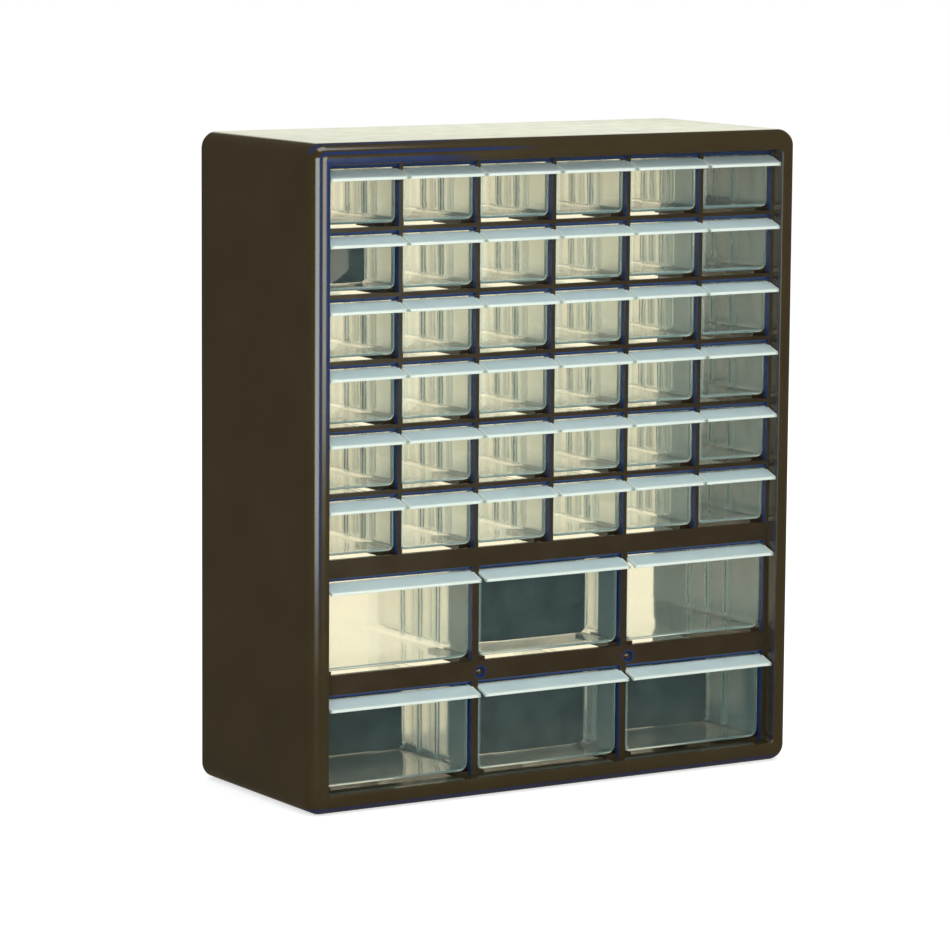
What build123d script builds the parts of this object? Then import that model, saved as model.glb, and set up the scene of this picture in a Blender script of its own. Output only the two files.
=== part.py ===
from build123d import *
import math
import os

# Small parts cabinet: a moulded, open-backed case with 36 small and 6 large clear drawers.
# Millimetres. +Z is up, the drawers face -Y, and the origin is under the middle of the base.

# Case, seen from the front
case_width = 410.0
case_height = 470.0
case_depth = 160.0
wall = 2.5
outline_radius = 12.0
edge_round = 11.0
rim_width = 14.4
rim_depth = 12.0
rim_corner_radius = 3.0

# Drawer layout: six columns of small drawers over three columns of large ones
small_columns = 6
small_rows = 6
large_columns = 3
large_rows = 2
bottom_rail = 2.4
large_rail = 19.8
bank_rail = 18.7
small_rail = 8.3
top_rail = 4.8

# Drawers; the small ones are as tall as the case height leaves them
large_height = 63.0
drawer_wall = 1.5
front_thickness = 1.9
side_drop = 2.0
small_corner_cut = 3.0
large_corner_cut = 4.2
front_recess = 2.0

# Awning-shaped pull along the top of each drawer front
lip_reach = 13.6
lip_drop = 4.8
lip_thickness = 1.7
lip_ear = 1.4
lip_corner = 2.4
bead_width = 1.8
bead_depth = 2.2

# Slots for loose dividers, between ribs on the drawer sides
first_slot = 42.0
slot_pitch = 24.5
slot_width = 1.8
rib_width = 2.4
rib_reach = 1.2
divider_thickness = 1.2
divider_drop = 2.5

# Lugs on the drawer sides that stop them behind the grid
lug_inset = 19.2
lug_width = 2.5
lug_height = 4.0

# Front grid: a plate, with deep bars behind it between the small drawers and fins between
# the large ones
plate_thickness = 4.0
small_bar = 3.1
large_bar = 5.5
bar_depth = 10.0
bar_margin = 3.0
rail_chamfer = 2.4
fin_thickness = 2.0
fin_depth = 32.0
gate_radius = 3.8
gate_depth = 2.0
gate_offset = 4.5

# Guides behind the grid, which carry the drawers by their lower corners
guide_depth = 48.0
guide_thickness = 4.5
guide_overlap = 3.0
sill_drop = 2.3

# Back frame with its wall-hanging keyholes, and the ribs in the case that it seats on
frame_thickness = 2.0
frame_inset = 1.0
frame_border = 12.5
frame_top = 26.0
seat_reach = 3.0
seat_depth = 2.0
keyhole_entry_radius = 4.6
keyhole_slot_radius = 2.3
keyhole_rise = 9.0
keyhole_drop = 20.0

# Clearances
slide_gap = 0.7
rest_gap = 0.3
head_gap = 0.8
ear_gap = 0.3
fit_gap = 0.2
rear_gap = 2.0

# Planes and heights that the pieces share
case_front = -case_depth / 2
case_back = case_depth / 2
grid_front = case_front + rim_depth
plate_back = grid_front + plate_thickness
bar_back = grid_front + bar_depth
fin_back = grid_front + fin_depth
guide_back = grid_front + guide_depth
drawer_front = grid_front + front_recess
frame_back = case_back - frame_inset
frame_front = frame_back - frame_thickness
drawer_length = frame_front - rear_gap - drawer_front
cavity_width = case_width - 2 * wall
cavity_height = case_height - 2 * wall
cavity_radius = outline_radius - wall
column_pitch = (case_width - 2 * rim_width) / small_columns
large_column_pitch = column_pitch * small_columns / large_columns
small_width = column_pitch - small_bar - 2 * slide_gap
large_width = large_column_pitch - large_bar - 2 * slide_gap
base_height = rim_width + bottom_rail
large_bottoms = [base_height + (large_height + large_rail) * row for row in range(large_rows)]
small_base = large_bottoms[-1] + large_height + bank_rail
small_top = case_height - rim_width - top_rail
small_height = (small_top - small_base - small_rail * (small_rows - 1)) / small_rows
small_bottoms = [small_base + (small_height + small_rail) * row for row in range(small_rows)]
bars_bottom = small_base - sill_drop - bar_margin
bars_top = small_top + head_gap + bar_margin
gate_height = (large_bottoms[1] - sill_drop + large_bottoms[0] + large_height + head_gap) / 2
slots = [first_slot + slot_pitch * index for index in range(3)]


def centres(count, pitch):
    """Middles of a centred row of columns."""
    return [pitch * (index - (count - 1) / 2) for index in range(count)]


def facing_front(y):
    """Plane across the case at depth y, whose normal points at the drawer fronts."""
    return Plane(origin=(0, y, 0), x_dir=(1, 0, 0), z_dir=(0, -1, 0))


small_x = centres(small_columns, column_pitch)
large_x = centres(large_columns, large_column_pitch)
small_sides = centres(small_columns + 1, column_pitch)
large_joints = centres(large_columns + 1, large_column_pitch)[1:-1]
small_places = [(x, bottom) for x in small_x for bottom in small_bottoms]
large_places = [(x, bottom) for x in large_x for bottom in large_bottoms]


def write(piece, name):
    """Label one finished piece and write it under its own name."""
    piece.label = name
    export_step(piece, f"parts/{name}.step")


os.makedirs("parts", exist_ok=True)

# Case: one open-backed moulding with a rounded rim that turns in to the front grid
with BuildPart() as case_shell:
    with BuildSketch(facing_front(case_back)):
        with Locations((0, case_height / 2)):
            RectangleRounded(case_width, case_height, outline_radius)
    extrude(amount=case_depth)
    fillet(case_shell.faces().sort_by(Axis.Y)[0].edges(), radius=edge_round)
    offset(amount=-wall, openings=case_shell.faces().sort_by(Axis.Y)[-1])
    # Inner wall of the rim, from the rounded front back to the grid
    with BuildSketch(facing_front(grid_front)):
        with Locations((0, case_height / 2)):
            RectangleRounded(
                case_width - 2 * rim_width + 2 * wall,
                case_height - 2 * rim_width + 2 * wall,
                rim_corner_radius + wall,
            )
    extrude(amount=rim_depth - wall / 2)
    with BuildSketch(facing_front(grid_front)):
        with Locations((0, case_height / 2)):
            RectangleRounded(case_width - 2 * rim_width, case_height - 2 * rim_width, rim_corner_radius)
    extrude(amount=rim_depth, mode=Mode.SUBTRACT)
    # Ribs inside the four walls, which the back frame seats on
    with BuildSketch(facing_front(frame_front)):
        with Locations(
            (-(cavity_width - seat_reach) / 2, case_height / 2),
            ((cavity_width - seat_reach) / 2, case_height / 2),
        ):
            Rectangle(seat_reach, cavity_height - 2 * cavity_radius)
        with Locations((0, wall + seat_reach / 2), (0, case_height - wall - seat_reach / 2)):
            Rectangle(cavity_width - 2 * cavity_radius, seat_reach)
    extrude(amount=seat_depth)
write(case_shell.part, "case_shell")


def guide_middle(bottom):
    """Height of the middle of the guide that carries a drawer with its floor at this height."""
    return bottom - rest_gap - guide_thickness / 2


def openings(places, width, height):
    """Cut the grid's openings for drawers of one size from the sketch."""
    with Locations(*[(x, bottom + (height + head_gap - sill_drop) / 2) for x, bottom in places]):
        Rectangle(width + 2 * slide_gap, height + head_gap + sill_drop, mode=Mode.SUBTRACT)


# Front grid: the pierced plate that the drawer fronts sink into
with BuildPart() as front_grid:
    with BuildSketch(facing_front(plate_back)):
        with Locations((0, case_height / 2)):
            RectangleRounded(
                cavity_width - 2 * fit_gap,
                cavity_height - 2 * fit_gap,
                cavity_radius - fit_gap,
            )
        openings(small_places, small_width, small_height)
        openings(large_places, large_width, large_height)
    extrude(amount=plate_thickness)
    # Sloped underside of every rail, above each drawer's pull
    grid_face = front_grid.faces().sort_by(Axis.Y)[0]
    rail_edges = [wire.edges().sort_by(Axis.Z)[-1] for wire in grid_face.inner_wires()]
    chamfer(rail_edges, length=rail_chamfer)
    # Round moulding wells beside the joints of the large drawers
    with BuildSketch(facing_front(grid_front + gate_depth)):
        with Locations(*[(x + gate_offset, gate_height) for x in large_joints]):
            Circle(gate_radius)
    extrude(amount=gate_depth, mode=Mode.SUBTRACT)
write(front_grid.part, "front_grid")

# Bars behind the plate, on both sides of every small column
with BuildPart() as column_bars:
    with BuildSketch(facing_front(bar_back)):
        with Locations(*[(x, (bars_bottom + bars_top) / 2) for x in small_sides]):
            Rectangle(small_bar, bars_top - bars_bottom)
    extrude(amount=bar_back - plate_back)
write(column_bars.part, "column_bars")

# Fins behind the plate, between the large columns
with BuildPart() as column_fins:
    with BuildSketch(facing_front(fin_back)):
        with Locations(*[(x, (base_height + bars_bottom) / 2) for x in large_joints]):
            Rectangle(fin_thickness, bars_bottom - base_height)
    extrude(amount=fin_back - plate_back)
write(column_fins.part, "column_fins")

# Guides behind the bars, one on each side of every small column, shared by its neighbour
small_reach = small_bar / 2 + slide_gap + small_corner_cut + guide_overlap
outer_guide = small_reach + small_bar / 2
with BuildPart() as small_guides:
    with BuildSketch(facing_front(guide_back)):
        with Locations(*[(x, guide_middle(bottom)) for x in small_sides[1:-1] for bottom in small_bottoms]):
            Rectangle(2 * small_reach, guide_thickness)
        for side in (-1, 1):
            x = side * (small_sides[-1] + small_bar / 2 - outer_guide / 2)
            with Locations(*[(x, guide_middle(bottom)) for bottom in small_bottoms]):
                Rectangle(outer_guide, guide_thickness)
    extrude(amount=guide_back - bar_back)
write(small_guides.part, "small_guides")

# Guides behind the plate, on both sides of every large drawer and clear of the fins
large_guide = slide_gap + large_corner_cut + guide_overlap
guide_shift = large_width / 2 + slide_gap - large_guide / 2
with BuildPart() as large_guides:
    with BuildSketch(facing_front(guide_back)):
        with Locations(
            *[
                (x + side * guide_shift, guide_middle(bottom))
                for x, bottom in large_places
                for side in (-1, 1)
            ]
        ):
            Rectangle(large_guide, guide_thickness)
    extrude(amount=guide_back - plate_back)
write(large_guides.part, "large_guides")

# Back frame: a border inside the rear of the case, with two keyholes to hang the case by
with BuildPart() as back_frame:
    with BuildSketch(facing_front(frame_back)):
        with Locations((0, case_height / 2)):
            RectangleRounded(
                cavity_width - 2 * fit_gap,
                cavity_height - 2 * fit_gap,
                cavity_radius - fit_gap,
            )
        with Locations((0, (case_height + frame_border - frame_top) / 2)):
            Rectangle(
                cavity_width - 2 * frame_border,
                cavity_height - frame_border - frame_top,
                mode=Mode.SUBTRACT,
            )
        keyhole_places = [(x, case_height - keyhole_drop) for x in (small_x[1], small_x[-2])]
        with Locations(*keyhole_places):
            Circle(keyhole_entry_radius, mode=Mode.SUBTRACT)
        with Locations(*[(x, height + keyhole_rise / 2) for x, height in keyhole_places]):
            SlotCenterToCenter(keyhole_rise, 2 * keyhole_slot_radius, rotation=90, mode=Mode.SUBTRACT)
    extrude(amount=frame_thickness)
write(back_frame.part, "back_frame")


def inner_cut(corner_cut):
    """Cut of a drawer's lower corners on the inside, which leaves an even wall."""
    return corner_cut - drawer_wall * (2 - math.sqrt(2))


def make_drawer(width, height, corner_cut, ribs):
    """One clear drawer, with its front's outer face at y = 0 and its floor at z = 0."""
    side_height = height - side_drop
    inner_width = width - 2 * drawer_wall
    rib_base = drawer_wall + inner_cut(corner_cut)
    with BuildPart() as drawer:
        # Box with its lower corners cut off
        with BuildSketch(facing_front(drawer_length)) as outline:
            with Locations((0, side_height / 2)):
                Rectangle(width, side_height)
            chamfer(outline.vertices().group_by(Axis.Y)[0], length=corner_cut)
        extrude(amount=drawer_length)
        # Front panel, a little taller than the sides
        with BuildSketch(facing_front(front_thickness)):
            with Locations((0, height - side_drop)):
                Rectangle(width, 2 * side_drop)
        extrude(amount=front_thickness)
        with BuildSketch(facing_front(drawer_length - drawer_wall)) as hollow:
            with Locations((0, drawer_wall + height / 2)):
                Rectangle(inner_width, height)
            chamfer(hollow.vertices().group_by(Axis.Y)[0], length=inner_cut(corner_cut))
        extrude(amount=drawer_length - drawer_wall - front_thickness, mode=Mode.SUBTRACT)
        # Ribs on both sides that hold loose dividers
        with BuildSketch(Plane.XY.offset(rib_base)):
            with Locations(
                *[(side * (width - drawer_wall - rib_reach) / 2, place) for side in (-1, 1) for place in ribs]
            ):
                Rectangle(drawer_wall + rib_reach, rib_width)
        extrude(amount=side_height - divider_drop - rib_base)
        # Lugs that stop the drawer behind the grid until its front is lifted
        lug_place = drawer_length - lug_inset + lug_width / 2
        with BuildSketch(Plane.XY.offset(side_height)):
            with Locations(*[(side * (width - drawer_wall) / 2, lug_place) for side in (-1, 1)]):
                Rectangle(drawer_wall, lug_width)
        extrude(amount=lug_height)
        # Pull: a sloping plate with a bead along its front, as wide as the panel and then
        # wider, once it is clear of the grid
        slope = lip_drop / lip_reach
        bead_back = lip_reach - bead_width
        for half_width, start in ((width / 2, 0.0), (width / 2 + lip_ear, front_recess + ear_gap)):
            with BuildSketch(Plane(origin=(-half_width, 0, 0), x_dir=(0, 1, 0), z_dir=(1, 0, 0))):
                with BuildLine():
                    Polyline(
                        (-start, height - slope * start),
                        (-lip_reach, height - lip_drop),
                        (-lip_reach, height - lip_drop - bead_depth),
                        (-bead_back, height - lip_drop - bead_depth),
                        (-bead_back, height - slope * bead_back - lip_thickness),
                        (-start, height - slope * start - lip_thickness),
                        close=True,
                    )
                make_face()
            extrude(amount=2 * half_width)
        lip_corners = drawer.edges().filter_by(Axis.Z).group_by(Axis.Y)[0]
        chamfer(lip_corners, length=lip_corner)
    return drawer


def make_divider(width, height, corner_cut):
    """One loose divider for a drawer of this size, in the drawer's own frame."""
    bottom = drawer_wall + fit_gap
    top = height - side_drop - divider_drop
    with BuildPart() as divider:
        with BuildSketch(facing_front(divider_thickness / 2)) as outline:
            with Locations((0, (bottom + top) / 2)):
                Rectangle(width - 2 * drawer_wall - 2 * fit_gap, top - bottom)
            chamfer(outline.vertices().group_by(Axis.Y)[0], length=inner_cut(corner_cut))
        extrude(amount=divider_thickness)
    return divider


# Ribs stand on both sides of each slot: one slot in a small drawer, three in a large one
rib_shift = (slot_width + rib_width) / 2
ribs = [slot + shift for slot in slots for shift in (-rib_shift, rib_shift)]

# Drawers, numbered by row from the top and by column from the left
small_drawer = make_drawer(small_width, small_height, small_corner_cut, ribs[:2])
large_drawer = make_drawer(large_width, large_height, large_corner_cut, ribs)
small_spots = {}
large_spots = {}
for row, bottom in enumerate(reversed(small_bottoms), start=1):
    for column, x in enumerate(small_x, start=1):
        small_spots[f"r{row}_c{column}"] = (x, drawer_front, bottom)
for row, bottom in enumerate(reversed(large_bottoms), start=small_rows + 1):
    for column, x in enumerate(large_x, start=1):
        large_spots[f"r{row}_c{column}"] = (x, drawer_front, bottom)
for spot, corner in small_spots.items():
    write(small_drawer.part.moved(Location(corner)), f"small_drawer_{spot}")
for spot, corner in large_spots.items():
    write(large_drawer.part.moved(Location(corner)), f"large_drawer_{spot}")

# Dark dividers, each in one slot of a drawer
small_divider = make_divider(small_width, small_height, small_corner_cut)
large_divider = make_divider(large_width, large_height, large_corner_cut)
for spot, slot in {"r2_c1": slots[0]}.items():
    x, y, z = small_spots[spot]
    write(small_divider.part.moved(Location((x, y + slot, z))), f"small_divider_{spot}")
for spot, slot in {"r7_c2": slots[0], "r8_c1": slots[2], "r8_c2": slots[0], "r8_c3": slots[1]}.items():
    x, y, z = large_spots[spot]
    write(large_divider.part.moved(Location((x, y + slot, z))), f"large_divider_{spot}")
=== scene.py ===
import bpy
import bmesh
import math
from mathutils import Matrix, Vector


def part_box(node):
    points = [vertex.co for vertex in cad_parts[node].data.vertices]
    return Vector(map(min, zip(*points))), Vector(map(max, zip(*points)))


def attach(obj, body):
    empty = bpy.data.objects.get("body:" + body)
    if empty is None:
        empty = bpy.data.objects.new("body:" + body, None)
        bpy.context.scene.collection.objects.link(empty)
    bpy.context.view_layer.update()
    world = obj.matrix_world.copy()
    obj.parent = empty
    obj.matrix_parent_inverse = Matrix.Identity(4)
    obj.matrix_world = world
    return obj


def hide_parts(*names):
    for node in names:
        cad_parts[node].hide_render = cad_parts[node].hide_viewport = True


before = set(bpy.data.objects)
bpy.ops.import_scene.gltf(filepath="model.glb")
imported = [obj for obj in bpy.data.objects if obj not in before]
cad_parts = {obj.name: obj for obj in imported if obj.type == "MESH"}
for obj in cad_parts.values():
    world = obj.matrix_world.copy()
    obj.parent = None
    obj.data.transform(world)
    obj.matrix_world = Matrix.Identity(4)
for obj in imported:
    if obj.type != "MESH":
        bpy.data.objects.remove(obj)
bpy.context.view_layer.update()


# The view. The cabinet stands on a pale floor and is seen from its left front corner, a little
# from above, through a long lens. Its back is open, so the drawers show the pale room behind.
view_turn = math.radians(31.95)
view_drop = math.radians(7.92)
view_roll = math.radians(0.43)
view_place = Vector((-1.7026, -2.6940, 0.6618))
lens_length = 166.95
sensor_width = 36
far_limit = 60
ahead = Vector(
    (
        math.sin(view_turn) * math.cos(view_drop),
        math.cos(view_turn) * math.cos(view_drop),
        -math.sin(view_drop),
    )
)
right = ahead.cross(Vector((0, 0, 1))).normalized()
above = right.cross(ahead)
image_right = right * math.cos(view_roll) + above * math.sin(view_roll)
image_up = above * math.cos(view_roll) - right * math.sin(view_roll)
camera_data = bpy.data.cameras.new("view")
camera_data.sensor_width = sensor_width
camera_data.sensor_fit = "HORIZONTAL"
camera_data.lens = lens_length
camera_data.clip_end = far_limit
camera = bpy.data.objects.new("view", camera_data)
camera_turn = Matrix((image_right, image_up, -ahead)).transposed()
camera.matrix_world = Matrix.Translation(view_place) @ camera_turn.to_4x4()
bpy.context.scene.collection.objects.link(camera)
bpy.context.scene.camera = camera
bpy.context.scene.view_settings.view_transform = "Standard"


# Case. One injection moulding in dark brown-black, glossy plastic: flat walls, a large quarter
# round along the front edges, a narrow flat rim and a step in to the drawer grid. It is open at
# the rear, where short ribs on the four walls seat the back frame.
case_low, case_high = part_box("case_shell")
front, back = case_low.y, case_high.y
case_wall = 0.0025
case_corner = 0.012
case_round = 0.011
rim_width = 0.0144
rim_depth = 0.012
rim_corner = 0.003
grid_front = front + rim_depth
small_edge = 0.0005
least_corner = 0.001
seat_reach = 0.003
seat_depth = 0.002
seat_end_gap = 0.0095
seat_bite = 0.0002


def quarter_turn(steps):
    """Angles from none to a right angle, both included."""
    return [math.radians(90 * step / steps) for step in range(steps + 1)]


def case_ring(inset, corner, y, steps=14):
    """Points of the case's outline, inset from its sides, at depth y, anticlockwise from the front."""
    left_side, right_side = case_low.x + inset, case_high.x - inset
    low, high = case_low.z + inset, case_high.z - inset
    middles = (
        (right_side - corner, high - corner, 0),
        (left_side + corner, high - corner, 90),
        (left_side + corner, low + corner, 180),
        (right_side - corner, low + corner, 270),
    )
    points = []
    for x, z, start in middles:
        for step in range(steps + 1):
            angle = math.radians(start + 90 * step / steps)
            points.append((x + corner * math.cos(angle), y, z + corner * math.sin(angle)))
    return points


def case_profile():
    """Inset, corner radius and depth of each outline, from the back round the rim and back inside."""
    rows = [(small_edge, case_corner - small_edge, back), (0, case_corner, back - small_edge)]
    for angle in quarter_turn(24):
        inset = case_round * (1 - math.cos(angle))
        rows.append((inset, case_corner - inset, front + case_round * (1 - math.sin(angle))))
    for angle in quarter_turn(4):
        inset = rim_width - small_edge * (1 - math.sin(angle))
        depth = front + small_edge * (1 - math.cos(angle))
        rows.append((inset, rim_corner + rim_width - inset, depth))
    rows.append((rim_width, rim_corner, grid_front))
    rows.append((rim_width - case_wall, rim_corner + case_wall, grid_front))
    rows.append((rim_width - case_wall, rim_corner + case_wall, front + case_wall))
    for angle in reversed(quarter_turn(12)):
        inset = case_wall + (case_round - case_wall) * (1 - math.cos(angle))
        depth = front + case_wall + (case_round - case_wall) * (1 - math.sin(angle))
        rows.append((inset, max(case_corner - inset, least_corner), depth))
    rows.append((case_wall, case_corner - case_wall, back - small_edge))
    rows.append((case_wall + small_edge, case_corner - case_wall, back))
    return rows


def join_rings(form, ring, following):
    """A closed band of faces between two rings of points."""
    for index in range(len(ring)):
        other = (index + 1) % len(ring)
        form.faces.new((ring[index], ring[other], following[other], following[index]))


def add_block(form, low, high):
    """A plain block from one corner to the other."""
    for vert in bmesh.ops.create_cube(form, size=1)["verts"]:
        for axis in range(3):
            vert.co[axis] = low[axis] if vert.co[axis] < 0 else high[axis]


def mesh_piece(name, form):
    """An object at the origin from a bmesh, with its faces turned outwards."""
    bmesh.ops.recalc_face_normals(form, faces=form.faces)
    mesh = bpy.data.meshes.new(name)
    form.to_mesh(mesh)
    form.free()
    piece = bpy.data.objects.new(name, mesh)
    bpy.context.scene.collection.objects.link(piece)
    return piece


def smooth(piece, sharp_angle):
    """Round shading, apart from edges sharper than the angle."""
    piece.data.shade_smooth()
    piece.data.set_sharp_from_angle(angle=math.radians(sharp_angle))


def give(piece, material):
    """Put one material on a piece in place of what it came with."""
    piece.data.materials.clear()
    piece.data.materials.append(material)


form = bmesh.new()
rings = [[form.verts.new(point) for point in case_ring(*row)] for row in case_profile()]
for ring, following in zip(rings, rings[1:] + rings[:1]):
    join_rings(form, ring, following)
frame_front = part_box("back_frame")[0].y
inner_low = case_low + Vector((case_wall, 0, case_wall))
inner_high = case_high - Vector((case_wall, 0, case_wall))
for sign, edge in ((-1, inner_low.x), (1, inner_high.x)):
    ends = sorted((edge + sign * seat_bite, edge - sign * seat_reach))
    add_block(
        form,
        (ends[0], frame_front - seat_depth, inner_low.z + seat_end_gap),
        (ends[1], frame_front, inner_high.z - seat_end_gap),
    )
for sign, edge in ((-1, inner_low.z), (1, inner_high.z)):
    ends = sorted((edge + sign * seat_bite, edge - sign * seat_reach))
    add_block(
        form,
        (inner_low.x + seat_end_gap, frame_front - seat_depth, ends[0]),
        (inner_high.x - seat_end_gap, frame_front, ends[1]),
    )
case = mesh_piece("moulded_case", form)
smooth(case, 40)


class Signal:
    """One output of a shader tree, which Python's operators turn into Math nodes."""

    def __init__(self, finish, socket):
        self.finish = finish
        self.socket = socket

    def math(self, operation, *values):
        return self.finish.node("ShaderNodeMath", {"operation": operation}, dict(enumerate(values)))

    def __add__(self, other):
        return self.math("ADD", self, other)

    def __sub__(self, other):
        return self.math("SUBTRACT", self, other)

    def __mul__(self, other):
        return self.math("MULTIPLY", self, other)

    def __mod__(self, other):
        return self.math("FLOORED_MODULO", self, other)

    def __rsub__(self, other):
        return self.math("SUBTRACT", other, self)

    def __gt__(self, other):
        return self.math("GREATER_THAN", self, other)

    def __lt__(self, other):
        return self.math("LESS_THAN", self, other)

    def __abs__(self):
        return self.math("ABSOLUTE", self)

    def root(self):
        return self.math("SQRT", self)

    def largest(self, other):
        return self.math("MAXIMUM", self, other)

    def within(self, low, high):
        return (self > low) * (self < high)

    __radd__ = __add__
    __rmul__ = __mul__


class Finish:
    """A material under construction: its tree and the one way that nodes are added to it."""

    def __init__(self, name, owner=None):
        self.material = owner or bpy.data.materials.new(name)
        self.material.use_nodes = True
        self.tree = self.material.node_tree
        self.tree.nodes.clear()

    def node(self, kind, settings=None, inputs=None, out=0):
        """Any node: its type, its settings, its sockets' values or links, and the output to use."""
        made = self.tree.nodes.new(kind)
        for key, value in (settings or {}).items():
            setattr(made, key, value)
        for key, value in (inputs or {}).items():
            if isinstance(value, Signal):
                self.tree.links.new(value.socket, made.inputs[key])
            else:
                made.inputs[key].default_value = value
        return Signal(self, made.outputs[out]) if made.outputs else made

    def place(self, scale=(1, 1, 1)):
        """The point on the piece, in metres, stretched by scale."""
        spot = self.node("ShaderNodeTexCoord", out="Object")
        return self.node("ShaderNodeMapping", inputs={"Vector": spot, "Scale": scale})

    def distance(self, spot, place):
        """How far a point is from a fixed place."""
        ends = {0: spot, 1: place}
        return self.node("ShaderNodeVectorMath", {"operation": "DISTANCE"}, ends, out="Value")

    def parts(self, vector):
        """The three parts of a vector."""
        split = self.node("ShaderNodeSeparateXYZ", inputs={"Vector": vector})
        return [Signal(self, socket) for socket in split.socket.node.outputs]

    def facing(self):
        """The three parts of the direction in which the surface faces."""
        return self.parts(self.node("ShaderNodeNewGeometry", out="Normal"))

    def noise(self, size, detail, scale=(1, 1, 1)):
        """Soft random patches of about this size in metres, from 0 to 1."""
        return self.node(
            "ShaderNodeTexNoise",
            inputs={"Vector": self.place(scale), "Scale": 1 / size, "Detail": detail},
        )

    def band(self, signal, low, high, start=0.0, end=1.0):
        """The signal's range low to high, spread over start to end and held there."""
        return self.node(
            "ShaderNodeMapRange",
            inputs={"Value": signal, "From Min": low, "From Max": high, "To Min": start, "To Max": end},
        )

    def patches(self, noise, start=0.0, end=1.0):
        """Noise with more contrast, spread over start to end."""
        return self.band(noise, 0.3, 0.7, start, end)

    def blend(self, factor, first, second):
        """Colour first where factor is 0, and second where it is 1."""
        ends = {0: factor, 6: first, 7: second}
        return self.node("ShaderNodeMix", {"data_type": "RGBA"}, ends, out=2)

    def bump(self, height, depth, strength):
        """The surface's direction, disturbed by relief of this depth in metres."""
        relief = {"Height": height, "Distance": depth, "Strength": strength}
        return self.node("ShaderNodeBump", inputs=relief)

    def plastic(self, inputs):
        """A moulded surface, from its values and links."""
        return self.node("ShaderNodeBsdfPrincipled", inputs=inputs)

    def mix(self, share, first, second):
        """Surface first where share is 0, and second where it is 1."""
        return self.node("ShaderNodeMixShader", inputs={0: share, 1: first, 2: second})

    def shade(self, surface):
        """Connect the finished surface, and hand over the material."""
        self.node("ShaderNodeOutputMaterial", inputs={"Surface": surface})
        return self.material


# Painted reflection: the navy of the sky light is painted into the base colour on the edges that
# face it, and fades away from the top left corner.
finish = Finish("dark moulded plastic")
deep_brown = (0.0345, 0.0235, 0.0092, 1)
worn_brown = (0.0430, 0.0305, 0.0122, 1)
painted_sky_navy = (0.010, 0.028, 0.112, 1)
flat_depth = 0.00004
step_right = case_high.x - rim_width + 0.0003
fade_stretch = (1.8, 1, 1)
fade_centre = (case_low.x * fade_stretch[0], front, case_high.z)
brown = finish.blend(finish.patches(finish.noise(0.05, 4)), deep_brown, worn_brown)
x, y, _ = finish.parts(finish.place())
depth = y - front
sideways, facing_back, facing_up = finish.facing()
forward = facing_back * -1
away = finish.distance(finish.place(fade_stretch), fade_centre)
near_rim = finish.band(away, 0.17, 0.25, 1, 0)
near_shoulder = finish.band(away, 0.26, 0.34, 1, 0)
rim_face = (depth < flat_depth) * near_rim
shoulder = forward.within(0.875, 0.955) * near_shoulder
top_line = forward.within(0.1, 0.5) * (facing_up > 0.4) * near_rim * 0.6
under_line = (forward > 0.1) * (facing_up < -0.55) * 0.7
step_line = depth.within(0.0006, 0.0036) * (sideways < -0.5) * x.within(0, step_right) * 0.5
# Where the navy is painted as a reflection: rim face, shoulder, top, under and step lines.
painted_reflection_share = rim_face.largest(shoulder).largest(top_line).largest(under_line).largest(step_line)
dark_plastic = finish.shade(
    finish.plastic(
        {
            "Base Color": finish.blend(painted_reflection_share * 0.9, brown, painted_sky_navy),
            "Roughness": finish.band(finish.noise(0.018, 5), 0.25, 0.75, 0.11, 0.17),
            "Specular IOR Level": 0.75,
            "IOR": 1.55,
            "Normal": finish.bump(finish.noise(0.0011, 2), 0.00002, 0.2),
        }
    )
)
give(case, dark_plastic)
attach(case, "case")
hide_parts("case_shell")


# Front grid. A second dark moulding behind the rim: a plate pierced for the 42 drawers, with deep
# bars between the small ones, fins between the large ones and guides that carry the drawers. The
# blue of the sky light on its sloped rails and side faces near the front, and in the wells beside
# the lower joints, is a painted reflection in the base colour.
well_places = [(x, grid_front, 0.08895) for x in (-0.05903, 0.06803)]
well_radius = 0.0042
well_fade = 0.001
blue_depth = 0.0045
finish = Finish("dark grid plastic")
deep_brown = (0.0290, 0.0190, 0.0085, 1)
worn_brown = (0.0360, 0.0245, 0.0115, 1)
painted_sky_blue = (0.010, 0.032, 0.125, 1)
brown = finish.blend(finish.patches(finish.noise(0.04, 4)), deep_brown, worn_brown)
spot = finish.place()
_, y, _ = finish.parts(spot)
sideways, _, facing_up = finish.facing()
at_front = y < grid_front + blue_depth
# Painted reflection: sky blue on down-facing and side faces near the front, and in the wells.
painted_blue_faces = (facing_up < -0.3).largest(abs(sideways) > 0.5)
in_well = 0
for well in well_places:
    from_well = finish.distance(spot, well)
    in_well = finish.band(from_well, well_radius, well_radius + well_fade, 1, 0) + in_well
painted_blue_share = painted_blue_faces.largest(in_well) * at_front
grid_plastic = finish.shade(
    finish.plastic(
        {
            "Base Color": finish.blend(painted_blue_share, brown, painted_sky_blue),
            "Roughness": finish.band(finish.noise(0.02, 5), 0.25, 0.75, 0.16, 0.26),
            "Specular IOR Level": 0.6,
            "Normal": finish.bump(finish.noise(0.0011, 2), 0.00002, 0.25),
        }
    )
)
for node in ("front_grid", "column_bars", "column_fins", "small_guides", "large_guides"):
    give(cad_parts[node], grid_plastic)


# Moulding stubs. In each of the two round wells of the grid, where the plastic was fed in, a low
# shiny stub is left. It is the same plastic as the grid, and catches the light.
stub_radius = 0.0030
stub_height = 0.0015
well_depth = 0.002
stub_levels = 6
stub_sides = 24


def stub_ring(form, x, floor_y, z, lift):
    """Points round the dome at this angle above its foot, which lies on the floor of the well."""
    reach = stub_radius * math.cos(lift)
    y = floor_y - stub_height * math.sin(lift)
    turns = [math.radians(360 * side / stub_sides) for side in range(stub_sides)]
    places = [(x + reach * math.cos(turn), y, z + reach * math.sin(turn)) for turn in turns]
    return [form.verts.new(place) for place in places]


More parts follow.
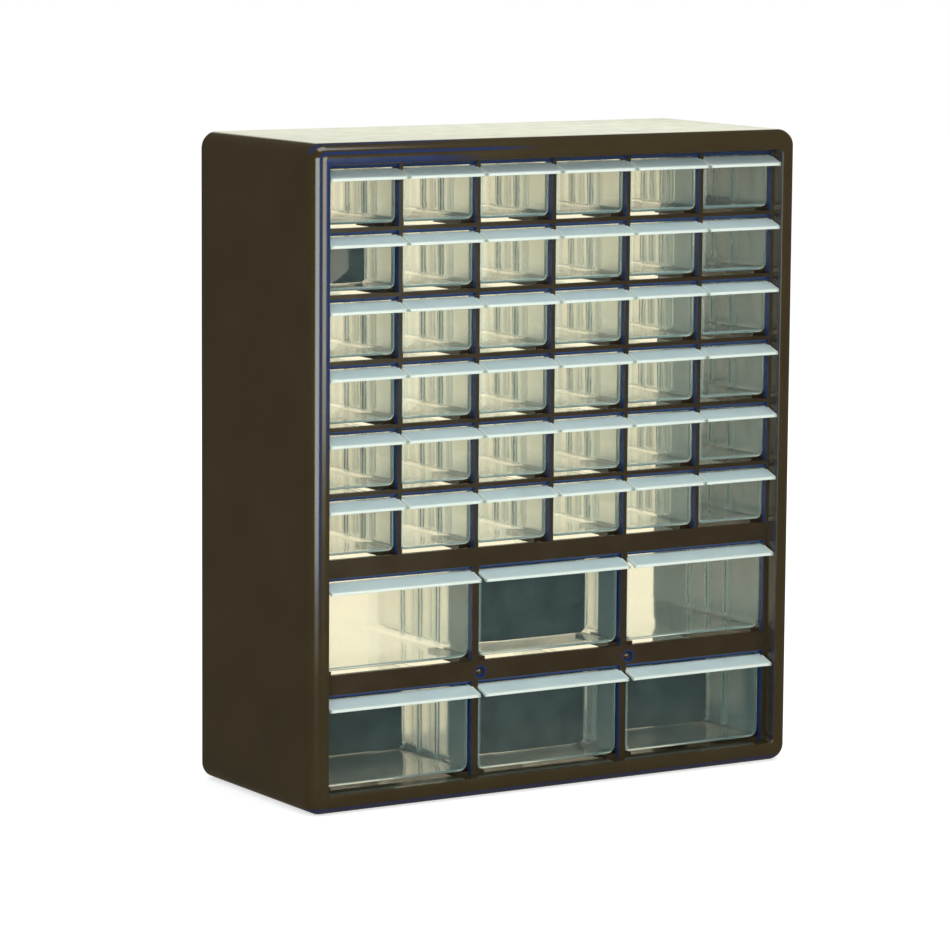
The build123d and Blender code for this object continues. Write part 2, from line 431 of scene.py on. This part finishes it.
for name, (x, y, z) in zip(("left", "right"), well_places):
    form = bmesh.new()
    floor_y = y + well_depth
    lifts = quarter_turn(stub_levels)[:-1]
    rings = [stub_ring(form, x, floor_y, z, lift) for lift in lifts]
    form.faces.new(rings[0])
    for ring, following in zip(rings, rings[1:]):
        join_rings(form, ring, following)
    tip = form.verts.new((x, floor_y - stub_height, z))
    for vert, other in zip(rings[-1], rings[-1][1:] + rings[-1][:1]):
        form.faces.new((vert, other, tip))
    stub = mesh_piece("moulding_stub_" + name, form)
    smooth(stub, 50)
    give(stub, dark_plastic)
    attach(stub, "case")


# Back frame. A thin border of the same plastic that snaps in behind the drawers, open in the
# middle, with two keyholes to hang the cabinet by.
give(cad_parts["back_frame"], grid_plastic)


# Drawers. Clear moulded styrene, slightly warm in its thickness, each one piece with a frosted
# awning pull along the top of its front, ribs inside for loose dividers and two rear stop lugs.
# Each slides on the guides behind the grid.
drawer_wall = 0.0015
panel_wall = 0.0019
front_round = 0.0036
small_corner = 0.005
large_corner = 0.007
side_drop = 0.002
side_start = front_round + 0.0012
lip_reach = 0.0136
lip_drop = 0.0048
lip_thickness = 0.0017
lip_ear = 0.0014
lip_corner = 0.0036
lip_start = 0.0023
lip_root = 0.003
root_bite = 0.0003
bead_width = 0.0018
bead_depth = 0.0022
bead_round = 0.0006
bead_bevel = 0.0003
small_slots = 2
large_slots = 3
first_slot = 0.042
slot_pitch = 0.0245
slot_width = 0.0018
rib_width = 0.0024
rib_reach = 0.0012
rib_top_gap = 0.0025
rib_foot_share = 0.8
lug_inset = 0.0192
lug_width = 0.0025
lug_height = 0.004
lug_root = 0.001
tool_overlap = 0.01
hair = 0.00005


def tray_outline(half, low, high, corner, steps=8):
    """Outline across a drawer: square above, rounded at the two lower corners."""
    points = [(half, high), (-half, high)]
    for centre, start in ((-half + corner, 180), (half - corner, 270)):
        for step in range(steps + 1):
            angle = math.radians(start + 90 * step / steps)
            points.append((centre + corner * math.cos(angle), low + corner + corner * math.sin(angle)))
    return points


def tray_body(half, low, high, corner, start, end, rounding):
    """A solid body from start to end, whose front is rounded in from both sides and the floor."""
    form = bmesh.new()
    rows = [(0, end)]
    for angle in quarter_turn(6):
        rows.append((rounding * (1 - math.cos(angle)), start + rounding * (1 - math.sin(angle))))
    layers = []
    for inset, y in rows:
        outline = tray_outline(half - inset, low + inset, high, corner - inset)
        layers.append([form.verts.new((x, y, z)) for x, z in outline])
    for layer, following in zip(layers, layers[1:]):
        join_rings(form, layer, following)
    form.faces.new(layers[0])
    form.faces.new(layers[-1])
    return form


def cross_bar(outline, reach):
    """A closed bar across the drawer, with this outline of depths and heights."""
    form = bmesh.new()
    layers = [[form.verts.new((x, y, z)) for y, z in outline] for x in (-reach, reach)]
    join_rings(form, *layers)
    form.faces.new(layers[0])
    form.faces.new(layers[1])
    return form


def combine(piece, tool, operation):
    """Join the tool to the piece or cut it away, and keep the result as the piece's mesh."""
    cut = piece.modifiers.new("combine", "BOOLEAN")
    cut.operation = operation
    cut.object = tool
    cut.solver = "EXACT"
    graph = bpy.context.evaluated_depsgraph_get()
    result = bpy.data.meshes.new_from_object(piece.evaluated_get(graph))
    piece.modifiers.remove(cut)
    piece.data = result
    bpy.data.objects.remove(tool)


def slot_ribs(name, width, low, high, slots):
    """Divider ribs: one block on every pair of points, made real as one mesh."""
    tree = bpy.data.node_groups.new(name, "GeometryNodeTree")
    tree.interface.new_socket("Geometry", in_out="OUTPUT", socket_type="NodeSocketGeometry")
    sizes = {
        "Slots": ("NodeSocketInt", slots),
        "First slot": ("NodeSocketFloat", first_slot),
        "Slot pitch": ("NodeSocketFloat", slot_pitch),
        "Rib spacing": ("NodeSocketFloat", slot_width + rib_width),
        "Rib size": ("NodeSocketVector", (drawer_wall / 2 + rib_reach, rib_width, high - low)),
        "Side place": ("NodeSocketFloat", width / 2 - drawer_wall - rib_reach / 2 + drawer_wall / 4),
        "Rib middle": ("NodeSocketFloat", (low + high) / 2),
    }
    identifiers = {}
    for label, (kind, value) in sizes.items():
        made = tree.interface.new_socket(label, in_out="INPUT", socket_type=kind)
        identifiers[made.identifier] = value
    add = tree.nodes.new
    link = tree.links.new
    given = add("NodeGroupInput")
    row = add("GeometryNodeMeshLine")
    step = add("ShaderNodeCombineXYZ")
    link(given.outputs["Slot pitch"], step.inputs["Y"])
    link(given.outputs["Slots"], row.inputs["Count"])
    link(step.outputs[0], row.inputs["Offset"])
    pair = add("GeometryNodeMeshLine")
    pair.inputs["Count"].default_value = 2
    pair_step = add("ShaderNodeCombineXYZ")
    link(given.outputs["Rib spacing"], pair_step.inputs["Y"])
    link(pair_step.outputs[0], pair.inputs["Offset"])
    block = add("GeometryNodeMeshCube")
    link(given.outputs["Rib size"], block.inputs["Size"])
    ribs_in_pair = add("GeometryNodeInstanceOnPoints")
    link(pair.outputs[0], ribs_in_pair.inputs["Points"])
    link(block.outputs[0], ribs_in_pair.inputs["Instance"])
    pairs = add("GeometryNodeInstanceOnPoints")
    link(row.outputs[0], pairs.inputs["Points"])
    link(ribs_in_pair.outputs[0], pairs.inputs["Instance"])
    first_rib = add("ShaderNodeMath")
    first_rib.operation = "MULTIPLY_ADD"
    link(given.outputs["Rib spacing"], first_rib.inputs[0])
    first_rib.inputs[1].default_value = -0.5
    link(given.outputs["First slot"], first_rib.inputs[2])
    both = add("GeometryNodeJoinGeometry")
    for sign in (-1, 1):
        side = add("ShaderNodeMath")
        side.operation = "MULTIPLY"
        link(given.outputs["Side place"], side.inputs[0])
        side.inputs[1].default_value = sign
        place = add("ShaderNodeCombineXYZ")
        link(side.outputs[0], place.inputs["X"])
        link(first_rib.outputs[0], place.inputs["Y"])
        link(given.outputs["Rib middle"], place.inputs["Z"])
        moved = add("GeometryNodeTransform")
        link(pairs.outputs[0], moved.inputs["Geometry"])
        link(place.outputs[0], moved.inputs["Translation"])
        link(moved.outputs[0], both.inputs[0])
    real = add("GeometryNodeRealizeInstances")
    link(both.outputs[0], real.inputs[0])
    coated = add("GeometryNodeSetMaterial")
    coated.inputs["Material"].default_value = clear_styrene
    link(real.outputs[0], coated.inputs[0])
    result = add("NodeGroupOutput")
    link(coated.outputs[0], result.inputs[0])
    piece = bpy.data.objects.new(name, bpy.data.meshes.new(name))
    bpy.context.scene.collection.objects.link(piece)
    grown = piece.modifiers.new("ribs", "NODES")
    grown.node_group = tree
    for identifier, value in identifiers.items():
        grown[identifier] = value
    graph = bpy.context.evaluated_depsgraph_get()
    mesh = bpy.data.meshes.new_from_object(piece.evaluated_get(graph))
    piece.modifiers.remove(grown)
    piece.data = mesh
    return piece


def stored(finish, name):
    """The three parts of what a drawer's points store under this name."""
    return finish.parts(finish.node("ShaderNodeAttribute", {"attribute_name": name}, out="Vector"))


def pale_shadow(finish, surface, colour):
    """The surface, casting a shadow of this colour in place of a black one."""
    is_shadow = finish.node("ShaderNodeLightPath", out="Is Shadow Ray")
    light_through = finish.node("ShaderNodeBsdfTransparent", inputs={"Color": colour})
    return finish.shade(finish.mix(is_shadow, surface, light_through))


# The clear walls: a little haze on the inside of the sides. Along the edges of the front panel is a
# pale haze that is painted edge light, the light seen along the wall's thickness. Where the divider
# ribs stand is a blurred band, darkened grey as painted shadow.
finish = Finish("clear styrene")
warm_clear = (0.97, 0.955, 0.92, 1)
cool_clear = (0.99, 0.98, 0.95, 1)
rib_shadow_grey = (0.83, 0.86, 0.82, 1)
pale_teal = (0.62, 0.92, 0.95, 1)
ribs_from, ribs_to = 0.03, 0.1
rib_band_half = 0.0026
rib_band_fade = 0.0042
edge_width = 0.0010
edge_fade = 0.0030
flow = finish.noise(0.03, 3, (1, 0.25, 1))
haze = finish.noise(0.012, 4)
across, out, rise = stored(finish, "spot")
half_span, rounding, _ = stored(finish, "span")
sideways, _, facing_up = finish.facing()
on_side = abs(sideways) > 0.7
inner_side = on_side * (sideways * across < 0)
on_floor = (abs(facing_up) > 0.7) * (out > panel_wall)
beyond_side = (rounding - (half_span - lip_ear - abs(across))).largest(0)
beyond_floor = (rounding - rise).largest(0)
from_outline = rounding - (beyond_side * beyond_side + beyond_floor * beyond_floor).root()
# Painted edge light: pale teal haze along the front panel's edges, for light seen along the wall's
# thickness.
painted_edge_light = finish.band(from_outline, edge_width, edge_fade, 1, 0) * (out < front_round)
from_slot = abs((out - first_slot + slot_pitch / 2) % slot_pitch - slot_pitch / 2)
rib_band = finish.band(from_slot, rib_band_half, rib_band_fade, 1, 0) * on_side
rib_band = rib_band * out.within(ribs_from, ribs_to)
clear_tint = finish.blend(finish.patches(flow), warm_clear, cool_clear)
# Along the rib slots the clear tint turns grey: painted shadow bands.
glassy = finish.plastic(
    {
        "Base Color": finish.blend(rib_band * 0.3, clear_tint, rib_shadow_grey),
        "Roughness": finish.patches(haze, 0.05, 0.09) + on_side * 0.1 + rib_band * 0.12,
        "IOR": 1.12,
        "Transmission Weight": 1.0,
        "Coat Weight": 0.55,
        "Coat Roughness": 0.05,
        "Coat IOR": 1.59,
        "Normal": finish.bump(flow, 0.0006, 0.25),
    }
)
hazy = finish.plastic({"Base Color": pale_teal, "Roughness": 0.5})
side_haze = inner_side * 0.10 + rib_band * 0.10
floor_haze_and_edge_light = on_floor * 0.03 + painted_edge_light * 0.34
haze_share = side_haze + floor_haze_and_edge_light + finish.patches(haze, 0.008, 0.022)
clear_wall = finish.mix(haze_share, glassy, hazy)
clear_styrene = pale_shadow(finish, clear_wall, (0.86, 0.90, 0.90, 1))

# The frosted pulls: milky and pale blue, with a lighter border along the bead and both ends.
finish = Finish("frosted styrene")
misty_blue = (0.69, 0.83, 0.86, 1)
milk_blue = (0.77, 0.90, 0.925, 1)
pale_border = (0.88, 0.95, 0.91, 1)
border_width = 0.0008
border_fade = 0.0018
frost = finish.noise(0.0008, 2)
pale_blue = finish.blend(finish.patches(finish.noise(0.02, 3)), misty_blue, milk_blue)
across, out, _ = stored(finish, "spot")
half_span, _, _ = stored(finish, "span")
end_border = finish.band(half_span - abs(across), border_width, border_fade, 1, 0)
bead_border = finish.band(out + lip_reach, border_width, border_fade, 1, 0)
milky = finish.plastic(
    {
        "Base Color": finish.blend(end_border.largest(bead_border), pale_blue, pale_border),
        "Roughness": finish.patches(frost, 0.3, 0.42),
        "IOR": 1.45,
        "Transmission Weight": 0.25,
        "Normal": finish.bump(frost, 0.00003, 0.4),
    }
)
frosted_styrene = pale_shadow(finish, milky, (0.5, 0.56, 0.57, 1))


def pull_section(height):
    """Outline of the awning's side, as depths and heights: a sloped sheet with a bead at its edge."""
    slope = lip_drop / lip_reach
    root_top = height - slope * lip_start
    bead_back = bead_width - lip_reach
    edge_top = height - lip_drop
    bead_foot = edge_top - bead_depth
    points = [(-lip_start, root_top), (-lip_start, root_top - lip_thickness)]
    points.append((bead_back, height + slope * bead_back - lip_thickness))
    points.append((bead_back, bead_foot + bead_bevel))
    points.append((bead_back - bead_bevel, bead_foot))
    for angle in quarter_turn(4):
        reach = lip_reach - bead_round * (1 - math.sin(angle))
        points.append((-reach, bead_foot + bead_round * (1 - math.cos(angle))))
    for angle in quarter_turn(4):
        reach = lip_reach - bead_round * (1 - math.cos(angle))
        points.append((-reach, edge_top - bead_round * (1 - math.sin(angle))))
    return points


def awning_pull(half, height):
    """The pull: a sheet wider than the drawer with bevelled front corners, and its root in the front."""
    awning = cross_bar(pull_section(height), half + lip_ear)
    corner_edges = [
        edge
        for edge in awning.edges
        if all(vert.co.y + lip_reach < 2 * hair for vert in edge.verts)
        and abs(edge.verts[0].co.x - edge.verts[1].co.x) < hair
    ]
    bmesh.ops.bevel(
        awning,
        geom=corner_edges,
        offset=lip_corner,
        segments=4,
        profile=0.5,
        affect="EDGES",
        clamp_overlap=False,
    )
    pull = mesh_piece("pull", awning)
    root_end = height - lip_drop / lip_reach * lip_root
    root = [(root_bite, height), (root_bite, height - lip_thickness)]
    root += [(-lip_root, root_end - lip_thickness), (-lip_root, root_end)]
    combine(pull, mesh_piece("root", cross_bar(root, half)), "UNION")
    return pull


def drawer_form(name, node, corner, slots):
    """One drawer with its front at y = 0, its floor at z = 0 and its middle at x = 0."""
    low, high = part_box(node)
    half = (high.x - low.x) / 2 - lip_ear
    length = high.y - low.y - lip_reach
    height = high.z - low.z - lug_height + side_drop
    side_height = height - side_drop
    tray = mesh_piece(name, tray_body(half, 0, height, corner, 0, length, front_round))
    inside = tray_body(
        half - drawer_wall,
        drawer_wall,
        height + tool_overlap,
        corner - drawer_wall,
        panel_wall,
        length - drawer_wall,
        front_round - drawer_wall,
    )
    combine(tray, mesh_piece("inside", inside), "DIFFERENCE")
    form = bmesh.new()
    add_block(
        form,
        (-half - tool_overlap, side_start, side_height),
        (half + tool_overlap, length + tool_overlap, height + tool_overlap),
    )
    combine(tray, mesh_piece("above_sides", form), "DIFFERENCE")
    rib_foot = corner * rib_foot_share
    ribs = slot_ribs(name + "_ribs", 2 * half, rib_foot, side_height - rib_top_gap, slots)
    combine(tray, ribs, "UNION")
    form = bmesh.new()
    lug_start = length - lug_inset
    for sign in (-1, 1):
        ends = sorted((sign * half, sign * (half - drawer_wall)))
        add_block(
            form,
            (ends[0], lug_start, side_height - lug_root),
            (ends[1], lug_start + lug_width, side_height + lug_height),
        )
    combine(tray, mesh_piece("lugs", form), "UNION")
    combine(tray, awning_pull(half, height), "UNION")
    mesh = tray.data
    mesh.materials.clear()
    mesh.materials.append(clear_styrene)
    mesh.materials.append(frosted_styrene)
    for face in mesh.polygons:
        face.material_index = 1 if face.center.y < -hair else 0
    spots = mesh.attributes.new("spot", "FLOAT_VECTOR", "POINT")
    spans = mesh.attributes.new("span", "FLOAT_VECTOR", "POINT")
    for vert in mesh.vertices:
        spots.data[vert.index].vector = vert.co
        spans.data[vert.index].vector = (half + lip_ear, corner, 0)
    bpy.data.objects.remove(tray)
    return mesh


small_form = drawer_form("small_drawer", "small_drawer_r1_c1", small_corner, small_slots)
large_form = drawer_form("large_drawer", "large_drawer_r7_c1", large_corner, large_slots)
for node in sorted(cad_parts):
    if "_drawer_" not in node:
        continue
    low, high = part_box(node)
    mesh = (small_form if node.startswith("small") else large_form).copy()
    mesh.name = "clear_" + node
    mesh.transform(Matrix.Translation(((low.x + high.x) / 2, low.y + lip_reach, low.z)))
    drawer = bpy.data.objects.new("clear_" + node, mesh)
    bpy.context.scene.collection.objects.link(drawer)
    smooth(drawer, 25)
    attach(drawer, node)
    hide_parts(node)


# Dividers. Loose plates of dark teal-grey plastic that split a drawer in two. Each is dropped
# from above into a slot between the ribs of a drawer, and five drawers have one.
finish = Finish("dark divider plastic")
deep_teal = (0.020, 0.042, 0.049, 1)
worn_teal = (0.032, 0.060, 0.066, 1)
cloud = finish.noise(0.02, 4)
divider_plastic = finish.shade(
    finish.plastic(
        {
            "Base Color": finish.blend(finish.patches(cloud), deep_teal, worn_teal),
            "Roughness": finish.patches(cloud, 0.35, 0.45),
            "Specular IOR Level": 0.3,
            "Normal": finish.bump(finish.noise(0.0012, 2), 0.00003, 0.4),
        }
    )
)
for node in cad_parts:
    if "_divider_" in node:
        give(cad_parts[node], divider_plastic)


# Studio. A pale floor that keeps a soft shadow, and plain soft lights. The room is white to the
# camera, dim and warm in the gloss, and through the clear drawers cream behind and dim in front.
white = (1, 1, 1, 1)
cool_white = (0.96, 0.98, 1, 1)
warm_white = (1, 0.86, 0.66, 1)
cream = (1, 0.935, 0.69, 1)
cream_strength = 1.1
pale_aqua = (0.72, 0.94, 1, 1)
aqua_strength = 0.3
floor_grey = (0.80, 0.80, 0.80, 1)
floor_reach = 6
floor_top = -0.0002


def by_ray(finish, plain, in_gloss, through, to_camera):
    """Plain for the light itself, and a shader of its own for each other kind of ray."""
    surface = plain
    rays = {"Is Glossy Ray": in_gloss, "Is Transmission Ray": through, "Is Camera Ray": to_camera}
    for ray, shader in rays.items():
        surface = finish.mix(finish.node("ShaderNodeLightPath", out=ray), surface, shader)
    return surface


def cream_behind(finish, kind, is_behind):
    """Cream behind the cabinet and dim aqua in front of it, as light of this kind of node."""
    dim = finish.node(kind, inputs={"Color": pale_aqua, "Strength": aqua_strength})
    bright = finish.node(kind, inputs={"Color": cream, "Strength": cream_strength})
    return finish.mix(is_behind, dim, bright)


bpy.context.scene.world = bpy.data.worlds.new("room")
room = Finish("room", bpy.context.scene.world)
plain = room.node("ShaderNodeBackground", inputs={"Color": cool_white, "Strength": 0.55})
gloss = room.node("ShaderNodeBackground", inputs={"Color": warm_white, "Strength": 0.12})
blank = room.node("ShaderNodeBackground", inputs={"Color": white, "Strength": 1})
_, to_back, _ = room.parts(room.node("ShaderNodeTexCoord", out="Generated"))
through = cream_behind(room, "ShaderNodeBackground", room.band(to_back, -0.1, 0.2))
lit = by_ray(room, plain, gloss, through, blank)
room.node("ShaderNodeOutputWorld", inputs={"Surface": lit})

form = bmesh.new()
for x, y in ((-1, -1), (1, -1), (1, 1), (-1, 1)):
    form.verts.new((x * floor_reach, y * floor_reach, floor_top))
form.faces.new(form.verts)
floor = mesh_piece("floor", form)
finish = Finish("pale floor")
paper = finish.node("ShaderNodeBsdfDiffuse", inputs={"Color": floor_grey})
glow = finish.node("ShaderNodeEmission", inputs={"Color": white, "Strength": 0.62})
white_paper = finish.node("ShaderNodeAddShader", inputs={0: paper, 1: glow})
unseen = finish.node("ShaderNodeBsdfTransparent", inputs={"Color": white})
_, y, _ = finish.parts(finish.node("ShaderNodeTexCoord", out="Object"))
through = cream_behind(finish, "ShaderNodeEmission", finish.band(y, -0.3, -0.1))
give(floor, finish.shade(by_ray(finish, paper, unseen, through, white_paper)))


def soft_light(name, turn_degrees, rise_degrees, distance, height, size, power, colour):
    """A soft rectangular lamp that faces the cabinet, left out of what is seen through the drawers."""
    data = bpy.data.lights.new(name, "AREA")
    data.shape = "RECTANGLE"
    data.size, data.size_y = size
    data.energy = power
    data.color = colour
    lamp = bpy.data.objects.new(name, data)
    angle, rise = math.radians(turn_degrees), math.radians(rise_degrees)
    away = Vector((math.sin(angle) * math.cos(rise), -math.cos(angle) * math.cos(rise), math.sin(rise)))
    lamp.location = Vector((0, 0, height)) + away * distance
    lamp.rotation_euler = away.to_track_quat("Z", "Y").to_euler()
    lamp.visible_camera = False
    lamp.visible_transmission = False
    bpy.context.scene.collection.objects.link(lamp)


soft_light("left_softbox", -39, 0, 2.6, 0.53, (1.25, 1.54), 27, (0.95, 1, 0.97))
soft_light("right_softbox", 11, 0, 2.8, 0.60, (1.29, 1.41), 21, (1, 0.98, 0.76))
soft_light("overhead_softbox", 10, 78, 2.2, 0.235, (1.6, 1.0), 14, (0.97, 1, 0.98))
soft_light("rear_top_softbox", 148, 16, 2.4, 0.235, (2.4, 0.8), 7.2, (0.97, 1, 0.84))
